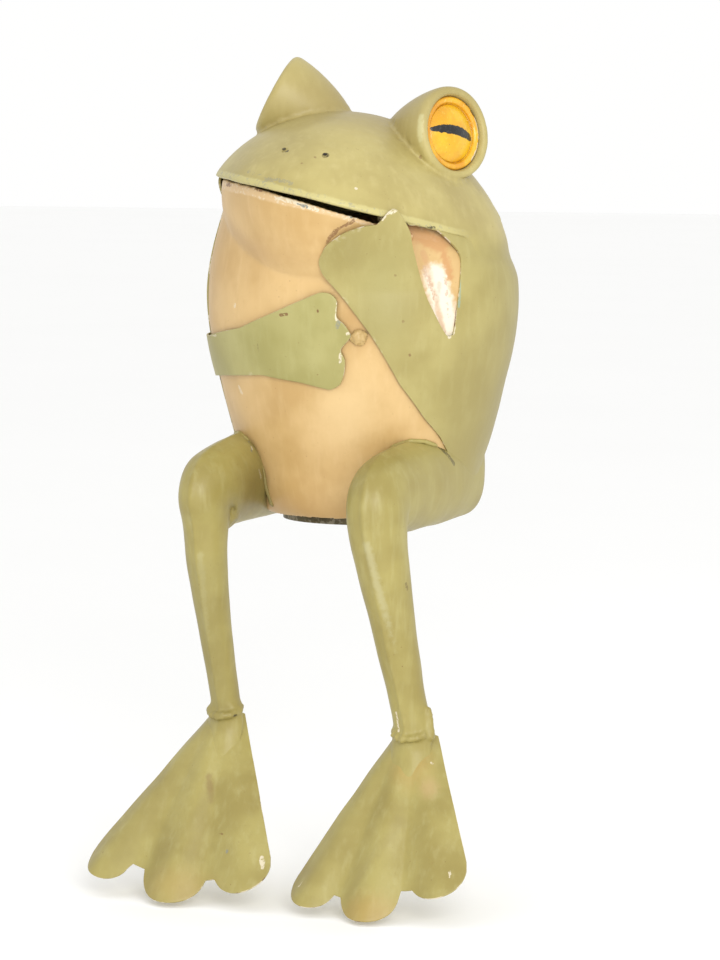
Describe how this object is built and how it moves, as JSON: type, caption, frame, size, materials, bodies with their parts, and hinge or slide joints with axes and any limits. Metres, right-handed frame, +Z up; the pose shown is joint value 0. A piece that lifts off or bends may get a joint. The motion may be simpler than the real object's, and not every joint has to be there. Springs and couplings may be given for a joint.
{
  "type": "sitting frog figure",
  "caption": "Painted sheet-metal frog that sits on a shelf edge with its legs hanging down and one hand under its chin.",
  "frame": {"origin": "middle of the flat underside of the seat, on the surface that the figure sits on", "axes": "+Z up, -Y is where the frog faces, +X is the frog's own left; the legs hang below z = 0 in front of the shelf"},
  "size_m": [0.2069, 0.1909, 0.424],
  "materials": {
    "green_paint": "hand-brushed olive green, satin, worn",
    "tan_paint": "hand-brushed tan, satin, worn",
    "yellow_paint": "yellow with a black slit, satin",
    "orange_paint": "orange yellow, satin",
    "solder": "dull braze, partly painted over"
  },
  "bodies": {
    "root": {"head_cap": "green_paint", "back_shell": "green_paint", "belly_panel": "tan_paint", "lower_jaw": "tan_paint", "seat_plate": "green_paint", "left_eye_cup": "green_paint", "right_eye_cup": "green_paint", "left_eye_ring": "orange_paint", "right_eye_ring": "orange_paint", "left_eye_dome": "yellow_paint", "right_eye_dome": "yellow_paint", "left_arm": "green_paint", "right_arm": "green_paint", "chin_tack": "solder", "finger_tack": "tan_paint", "left_leg_outer": "green_paint", "left_leg_inner": "green_paint", "right_leg_outer": "green_paint", "right_leg_inner": "green_paint", "left_foot": "green_paint", "right_foot": "green_paint", "left_ankle_weld": "green_paint", "right_ankle_weld": "green_paint", "left_hip_bead": "solder", "right_hip_bead": "solder", "neck_bead": "green_paint"}
  },
  "joints": []
}
